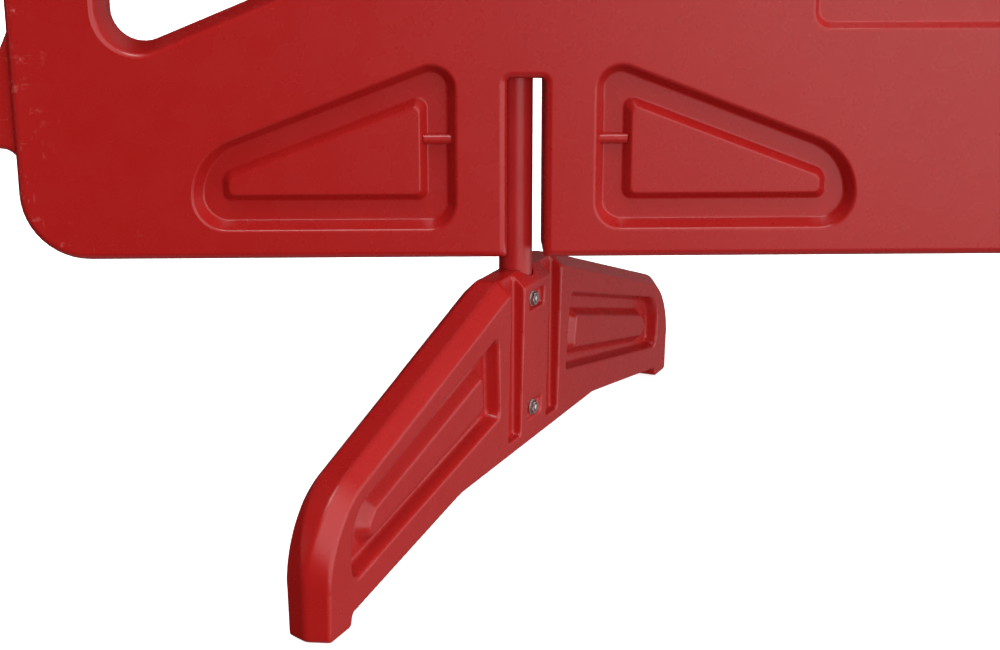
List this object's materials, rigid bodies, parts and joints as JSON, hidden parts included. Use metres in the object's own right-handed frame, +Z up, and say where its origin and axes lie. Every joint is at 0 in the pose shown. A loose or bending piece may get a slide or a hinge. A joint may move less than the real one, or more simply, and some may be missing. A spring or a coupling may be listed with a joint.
{
  "type": "crowd control barrier",
  "caption": "Moulded plastic pedestrian barrier: a long hollow panel with windows, on swivelling bolted feet.",
  "frame": {"origin": "on the ground, under the middle of the panel", "axes": "+X along the panel towards its right end, +Y towards its back, +Z up"},
  "size_m": [2.09, 0.6312, 1],
  "materials": {
    "red_plastic": "satin, fine moulded grain, light scuffs",
    "painted_post": "red powder coat on steel tube",
    "zinc": "bright zinc plate",
    "bush_plastic": "black nylon"
  },
  "bodies": {
    "panel": {"panel_shell": "red_plastic", "drain_plug_left": "red_plastic", "guide_sleeve_left": "bush_plastic", "bearing_cup_left": "bush_plastic", "keeper_pin_left": "zinc", "drain_plug_right": "red_plastic", "guide_sleeve_right": "bush_plastic", "bearing_cup_right": "bush_plastic", "keeper_pin_right": "zinc"},
    "foot_left": {"foot_shell_left": "red_plastic", "post_tube_left": "painted_post", "post_foot_plug_left": "bush_plastic", "post_top_cap_left": "bush_plastic", "thrust_washer_left": "zinc", "bolt_lower_left": "zinc", "nut_lower_left": "zinc", "washer_lower_left": "zinc", "bolt_upper_left": "zinc", "nut_upper_left": "zinc", "washer_upper_left": "zinc"},
    "foot_right": {"foot_shell_right": "red_plastic", "post_tube_right": "painted_post", "post_foot_plug_right": "bush_plastic", "post_top_cap_right": "bush_plastic", "thrust_washer_right": "zinc", "bolt_lower_right": "zinc", "nut_lower_right": "zinc", "washer_lower_right": "zinc", "bolt_upper_right": "zinc", "nut_upper_right": "zinc", "washer_upper_right": "zinc"}
  },
  "joints": [
    {"name": "foot_left_swivel", "type": "hinge", "parent": "panel", "child": "foot_left", "pos_m": [-0.6, 0, 0.2], "axis": [0, 0, 1], "continuous": true},
    {"name": "foot_right_swivel", "type": "hinge", "parent": "panel", "child": "foot_right", "pos_m": [0.6, 0, 0.2], "axis": [0, 0, 1], "continuous": true}
  ]
}
